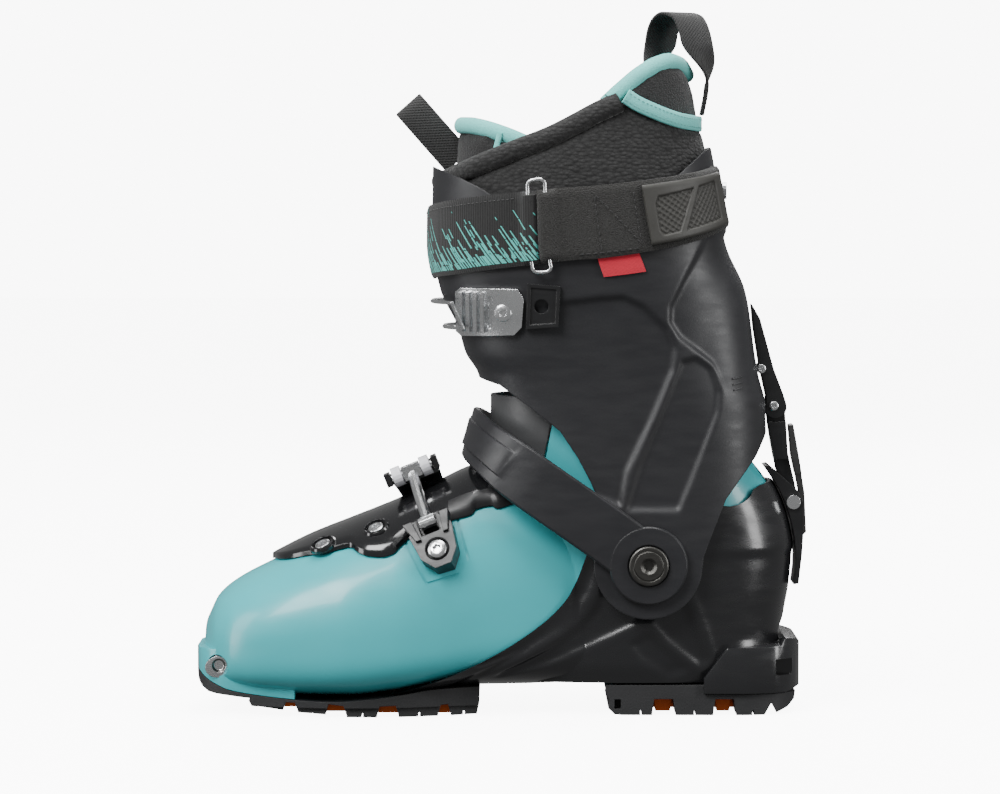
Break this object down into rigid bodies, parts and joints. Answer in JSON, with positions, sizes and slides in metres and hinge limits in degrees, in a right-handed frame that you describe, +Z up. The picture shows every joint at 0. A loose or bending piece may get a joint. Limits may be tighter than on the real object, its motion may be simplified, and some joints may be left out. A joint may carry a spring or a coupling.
{
  "type": "ski touring boot",
  "caption": "Alpine ski touring boot for the right foot: moulded shell, hinged cuff with walk lock, buckles, strap, lugged sole and removable padded liner.",
  "frame": {"origin": "on the ground under the middle of the sole", "axes": "+X towards the heel, -X towards the toe, +Y towards the lateral side, +Z up"},
  "size_m": [0.2904, 0.116, 0.3308],
  "materials": {
    "shell": "glossy aqua injection-moulded shell",
    "chassis": "glossy black over-mould",
    "tread": "matt black tread rubber",
    "tread_insert": "soft orange tread compound",
    "insert_steel": "machined steel binding insert",
    "board": "plain moulded board",
    "liner": "black mesh over foam",
    "liner_lining": "brushed lining over foam with an aqua edge",
    "insole": "foam footbed",
    "cover": "smooth black plastic",
    "hardware": "zinc-plated screws and rivets",
    "block": "satin black plastic",
    "rack": "bright pressed rack",
    "flap": "satin grey flexible plastic",
    "strap": "satin black strap",
    "pivot": "dark pivot bolt",
    "cuff": "satin black cuff",
    "webbing": "black ribbed webbing with aqua streaks",
    "felt": "felted hook-and-loop tab",
    "grip": "moulded textured grip",
    "label": "plain woven red label",
    "collar": "soft aqua collar",
    "pull_webbing": "black herringbone webbing",
    "mechanism": "satin black bar and bracket",
    "walk_lever": "dark anodised lever",
    "buckle": "polished buckle steel",
    "buckle_black": "black painted lever",
    "roller": "white plastic roller"
  },
  "bodies": {
    "boot_base": {"lower_shell": "shell", "shell_chassis": "chassis", "sole_front": "tread", "sole_insert_front": "tread_insert", "sole_heel": "tread", "sole_insert_heel": "tread_insert", "toe_insert": "insert_steel", "heel_insert": "insert_steel", "heel_insert_screw": "insert_steel", "boot_board": "board", "liner_foot": "liner", "insole": "insole", "tongue_cover": "cover", "tongue_screw_1": "hardware", "tongue_screw_2": "hardware", "forefoot_anchor": "block", "forefoot_anchor_screw": "hardware", "forefoot_catch": "rack", "instep_flap": "flap", "instep_strap": "strap", "instep_strap_arm": "strap", "instep_buckle_base": "block", "instep_ladder": "rack", "ankle_rivet_medial": "pivot", "ankle_rivet_lateral": "pivot", "lock_bracket": "mechanism", "lock_pin_medial": "hardware", "lock_pin_lateral": "hardware"},
    "cuff_assembly": {"cuff": "cuff", "cuff_ladder": "rack", "cuff_ladder_screw": "hardware", "cuff_keeper": "block", "cuff_buckle_base": "block", "power_strap": "webbing", "velcro_tab": "felt", "grip_pad": "grip", "strap_rivet": "hardware", "strap_label": "label", "liner_shaft": "liner", "liner_collar": "collar", "liner_tongue": "liner_lining", "rear_pull_loop": "pull_webbing", "front_pull_loop": "pull_webbing", "bar_mount": "mechanism"},
    "lock_bar": {"lock_bar": "mechanism"},
    "walk_lever": {"walk_lever": "walk_lever"},
    "cuff_buckle_lever": {"cuff_buckle_lever": "buckle"},
    "cuff_bail": {"cuff_bail": "buckle"},
    "strap_loop": {"strap_loop": "buckle"},
    "forefoot_rod": {"forefoot_rod": "buckle"},
    "forefoot_lever": {"forefoot_lever": "buckle_black"},
    "forefoot_roller_front": {"forefoot_roller_front": "roller"},
    "forefoot_roller_rear": {"forefoot_roller_rear": "roller"},
    "instep_lever": {"instep_lever": "buckle"},
    "instep_bail": {"instep_bail": "buckle"}
  },
  "joints": [
    {"name": "cuff_hinge", "type": "hinge", "parent": "boot_base", "child": "cuff_assembly", "pos_m": [0.07, 0, 0.072], "axis": [0, -1, 0], "range_deg": [-25, 8]},
    {"name": "lock_bar_hinge", "type": "hinge", "parent": "cuff_assembly", "child": "lock_bar", "pos_m": [0.1318, 0, 0.144], "axis": [0, -1, 0], "range_deg": [0, 12]},
    {"name": "walk_lever_hinge", "type": "hinge", "parent": "lock_bar", "child": "walk_lever", "pos_m": [0.139, 0, 0.134], "axis": [0, -1, 0], "range_deg": [0, 45]},
    {"name": "cuff_lever_hinge", "type": "hinge", "parent": "cuff_assembly", "child": "cuff_buckle_lever", "pos_m": [-0.00578, 0.04593, 0.1885], "axis": [0, 0, 1], "range_deg": [0, 100]},
    {"name": "cuff_bail_hinge", "type": "hinge", "parent": "cuff_buckle_lever", "child": "cuff_bail", "pos_m": [0.00111, 0.05134, 0.1885], "axis": [0, 0, 1], "range_deg": [-115, 0]},
    {"name": "strap_loop_hinge", "type": "hinge", "parent": "cuff_assembly", "child": "strap_loop", "pos_m": [0.01769, -0.05499, 0.23], "axis": [0, 0, 1], "range_deg": [-8, 8]},
    {"name": "forefoot_rod_hinge", "type": "hinge", "parent": "boot_base", "child": "forefoot_rod", "pos_m": [-0.03356, -0.04257, 0.09199], "axis": [0.9272, 0, 0.3746], "range_deg": [0, 60]},
    {"name": "forefoot_lever_hinge", "type": "hinge", "parent": "forefoot_rod", "child": "forefoot_lever", "pos_m": [-0.0415, -0.014, 0.114], "axis": [0.9272, 0, 0.3746], "range_deg": [0, 100]},
    {"name": "front_roller_spin", "type": "hinge", "parent": "forefoot_rod", "child": "forefoot_roller_front", "pos_m": [-0.0415, -0.014, 0.114], "axis": [0.9272, 0, 0.3746], "continuous": true},
    {"name": "rear_roller_spin", "type": "hinge", "parent": "forefoot_rod", "child": "forefoot_roller_rear", "pos_m": [-0.0415, -0.014, 0.114], "axis": [0.9272, 0, 0.3746], "continuous": true},
    {"name": "instep_lever_hinge", "type": "hinge", "parent": "boot_base", "child": "instep_lever", "pos_m": [0.02888, 0.05539, 0.10154], "axis": [0.5702, 0.0019, 0.8215], "range_deg": [0, 110]},
    {"name": "instep_bail_hinge", "type": "hinge", "parent": "instep_lever", "child": "instep_bail", "pos_m": [0.03249, 0.05854, 0.09903], "axis": [0.5702, 0.0019, 0.8215], "range_deg": [-126.5, 0]}
  ],
  "couplings": [
    {"joint": "cuff_bail_hinge", "follows": "cuff_lever_hinge", "ratio": -1.15},
    {"joint": "instep_bail_hinge", "follows": "instep_lever_hinge", "ratio": -1.15}
  ]
}
